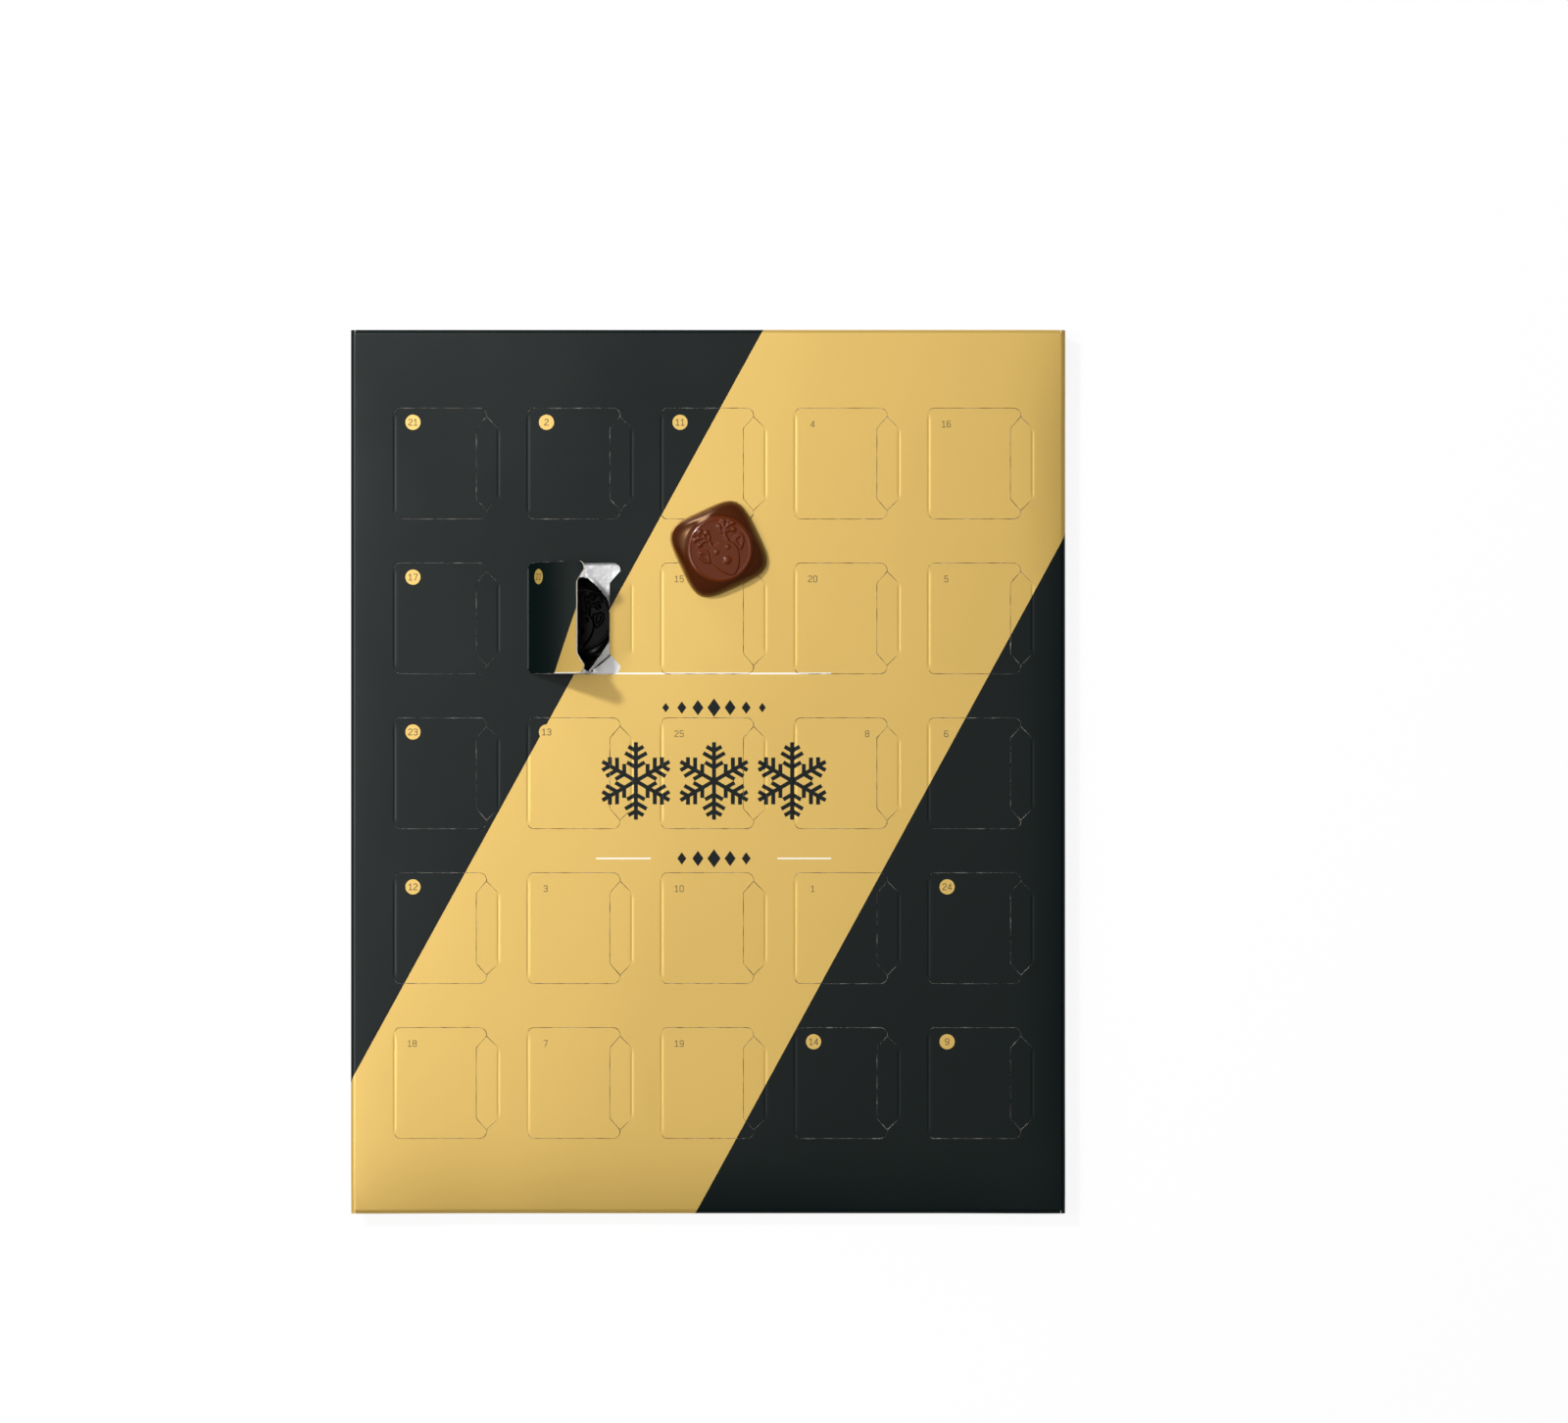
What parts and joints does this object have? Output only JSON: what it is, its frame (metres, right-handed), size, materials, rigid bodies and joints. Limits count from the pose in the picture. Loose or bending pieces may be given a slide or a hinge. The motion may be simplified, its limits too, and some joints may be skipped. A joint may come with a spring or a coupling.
{
  "type": "advent calendar",
  "caption": "Flat printed carton with perforated, numbered doors and thumb flaps over a foil-lidded tray of moulded chocolates; one door stands open, its chocolate on the front.",
  "frame": {"origin": "centre of the carton's back face, on which the calendar lies", "axes": "+Z out of the printed front, +Y towards the top edge of the front, +X towards its right edge; doors hinge on their -X side"},
  "size_m": [0.24, 0.297, 0.0344],
  "materials": {
    "printed_board": "satin",
    "carton_board": "satin",
    "tray_plastic": "gloss",
    "lid_foil": "satin",
    "milk_chocolate": "gloss"
  },
  "bodies": {
    "carton": {"front_panel": "printed_board", "back_panel": "carton_board", "left_side_panel": "carton_board", "right_side_panel": "carton_board", "top_end_closure": "carton_board", "bottom_end_closure": "carton_board", "tray": "tray_plastic", "foil": "lid_foil", "chocolate_01": "milk_chocolate", "chocolate_02": "milk_chocolate", "chocolate_03": "milk_chocolate", "chocolate_04": "milk_chocolate", "chocolate_05": "milk_chocolate", "chocolate_06": "milk_chocolate", "chocolate_07": "milk_chocolate", "chocolate_08": "milk_chocolate", "chocolate_09": "milk_chocolate", "chocolate_10": "milk_chocolate", "chocolate_11": "milk_chocolate", "chocolate_12": "milk_chocolate", "chocolate_13": "milk_chocolate", "chocolate_14": "milk_chocolate", "chocolate_15": "milk_chocolate", "chocolate_16": "milk_chocolate", "chocolate_17": "milk_chocolate", "chocolate_18": "milk_chocolate", "chocolate_19": "milk_chocolate", "chocolate_20": "milk_chocolate", "chocolate_21": "milk_chocolate", "chocolate_23": "milk_chocolate", "chocolate_24": "milk_chocolate", "chocolate_25": "milk_chocolate"},
    "door_01": {"door_01": "printed_board"},
    "door_02": {"door_02": "printed_board"},
    "door_03": {"door_03": "printed_board"},
    "door_04": {"door_04": "printed_board"},
    "door_05": {"door_05": "printed_board"},
    "door_06": {"door_06": "printed_board"},
    "door_07": {"door_07": "printed_board"},
    "door_08": {"door_08": "printed_board"},
    "door_09": {"door_09": "printed_board"},
    "door_10": {"door_10": "printed_board"},
    "door_11": {"door_11": "printed_board"},
    "door_12": {"door_12": "printed_board"},
    "door_13": {"door_13": "printed_board"},
    "door_14": {"door_14": "printed_board"},
    "door_15": {"door_15": "printed_board"},
    "door_16": {"door_16": "printed_board"},
    "door_17": {"door_17": "printed_board"},
    "door_18": {"door_18": "printed_board"},
    "door_19": {"door_19": "printed_board"},
    "door_20": {"door_20": "printed_board"},
    "door_21": {"door_21": "printed_board"},
    "door_22": {"door_22": "printed_board"},
    "door_23": {"door_23": "printed_board"},
    "door_24": {"door_24": "printed_board"},
    "door_25": {"door_25": "printed_board"},
    "thumb_flap_22": {"thumb_flap_22": "printed_board"},
    "chocolate_22": {"chocolate_22": "milk_chocolate"}
  },
  "joints": [
    {"name": "door_01_hinge", "type": "hinge", "parent": "carton", "child": "door_01", "pos_m": [0.0292, -0.05238, 0.0105], "axis": [0, -1, 0], "range_deg": [0, 120]},
    {"name": "door_02_hinge", "type": "hinge", "parent": "carton", "child": "door_02", "pos_m": [-0.0604, 0.10347, 0.0105], "axis": [0, -1, 0], "range_deg": [0, 120]},
    {"name": "door_03_hinge", "type": "hinge", "parent": "carton", "child": "door_03", "pos_m": [-0.0604, -0.05238, 0.0105], "axis": [0, -1, 0], "range_deg": [0, 120]},
    {"name": "door_04_hinge", "type": "hinge", "parent": "carton", "child": "door_04", "pos_m": [0.0292, 0.10347, 0.0105], "axis": [0, -1, 0], "range_deg": [0, 120]},
    {"name": "door_05_hinge", "type": "hinge", "parent": "carton", "child": "door_05", "pos_m": [0.074, 0.05152, 0.0105], "axis": [0, -1, 0], "range_deg": [0, 120]},
    {"name": "door_06_hinge", "type": "hinge", "parent": "carton", "child": "door_06", "pos_m": [0.074, -0.00043, 0.0105], "axis": [0, -1, 0], "range_deg": [0, 120]},
    {"name": "door_07_hinge", "type": "hinge", "parent": "carton", "child": "door_07", "pos_m": [-0.0604, -0.10433, 0.0105], "axis": [0, -1, 0], "range_deg": [0, 120]},
    {"name": "door_08_hinge", "type": "hinge", "parent": "carton", "child": "door_08", "pos_m": [0.0292, -0.00043, 0.0105], "axis": [0, -1, 0], "range_deg": [0, 120]},
    {"name": "door_09_hinge", "type": "hinge", "parent": "carton", "child": "door_09", "pos_m": [0.074, -0.10433, 0.0105], "axis": [0, -1, 0], "range_deg": [0, 120]},
    {"name": "door_10_hinge", "type": "hinge", "parent": "carton", "child": "door_10", "pos_m": [-0.0156, -0.05238, 0.0105], "axis": [0, -1, 0], "range_deg": [0, 120]},
    {"name": "door_11_hinge", "type": "hinge", "parent": "carton", "child": "door_11", "pos_m": [-0.0156, 0.10347, 0.0105], "axis": [0, -1, 0], "range_deg": [0, 120]},
    {"name": "door_12_hinge", "type": "hinge", "parent": "carton", "child": "door_12", "pos_m": [-0.1052, -0.05238, 0.0105], "axis": [0, -1, 0], "range_deg": [0, 120]},
    {"name": "door_13_hinge", "type": "hinge", "parent": "carton", "child": "door_13", "pos_m": [-0.0604, -0.00043, 0.0105], "axis": [0, -1, 0], "range_deg": [0, 120]},
    {"name": "door_14_hinge", "type": "hinge", "parent": "carton", "child": "door_14", "pos_m": [0.0292, -0.10433, 0.0105], "axis": [0, -1, 0], "range_deg": [0, 120]},
    {"name": "door_15_hinge", "type": "hinge", "parent": "carton", "child": "door_15", "pos_m": [-0.0156, 0.05152, 0.0105], "axis": [0, -1, 0], "range_deg": [0, 120]},
    {"name": "door_16_hinge", "type": "hinge", "parent": "carton", "child": "door_16", "pos_m": [0.074, 0.10347, 0.0105], "axis": [0, -1, 0], "range_deg": [0, 120]},
    {"name": "door_17_hinge", "type": "hinge", "parent": "carton", "child": "door_17", "pos_m": [-0.1052, 0.05152, 0.0105], "axis": [0, -1, 0], "range_deg": [0, 120]},
    {"name": "door_18_hinge", "type": "hinge", "parent": "carton", "child": "door_18", "pos_m": [-0.1052, -0.10433, 0.0105], "axis": [0, -1, 0], "range_deg": [0, 120]},
    {"name": "door_19_hinge", "type": "hinge", "parent": "carton", "child": "door_19", "pos_m": [-0.0156, -0.10433, 0.0105], "axis": [0, -1, 0], "range_deg": [0, 120]},
    {"name": "door_20_hinge", "type": "hinge", "parent": "carton", "child": "door_20", "pos_m": [0.0292, 0.05152, 0.0105], "axis": [0, -1, 0], "range_deg": [0, 120]},
    {"name": "door_21_hinge", "type": "hinge", "parent": "carton", "child": "door_21", "pos_m": [-0.1052, 0.10347, 0.0105], "axis": [0, -1, 0], "range_deg": [0, 120]},
    {"name": "door_22_hinge", "type": "hinge", "parent": "carton", "child": "door_22", "pos_m": [-0.0604, 0.05152, 0.0105], "axis": [0, -1, 0], "range_deg": [-51, 69]},
    {"name": "door_23_hinge", "type": "hinge", "parent": "carton", "child": "door_23", "pos_m": [-0.1052, -0.00043, 0.0105], "axis": [0, -1, 0], "range_deg": [0, 120]},
    {"name": "door_24_hinge", "type": "hinge", "parent": "carton", "child": "door_24", "pos_m": [0.074, -0.05238, 0.0105], "axis": [0, -1, 0], "range_deg": [0, 120]},
    {"name": "door_25_hinge", "type": "hinge", "parent": "carton", "child": "door_25", "pos_m": [-0.0156, -0.00043, 0.0105], "axis": [0, -1, 0], "range_deg": [0, 120]},
    {"name": "thumb_flap_22_crease", "type": "hinge", "parent": "carton", "child": "thumb_flap_22", "pos_m": [-0.02555, 0.05152, 0.0105], "axis": [0, 1, 0], "range_deg": [-8, 100]},
    {"name": "chocolate_22_lift", "type": "slide", "parent": "carton", "child": "chocolate_22", "axis": [0, 0, 1], "range_m": [0, 0.07]}
  ],
  "couplings": [
    {"joint": "door_11_hinge", "follows": "chocolate_22_lift", "rad_per_m": 29.9},
    {"joint": "door_15_hinge", "follows": "chocolate_22_lift", "rad_per_m": 29.9}
  ]
}
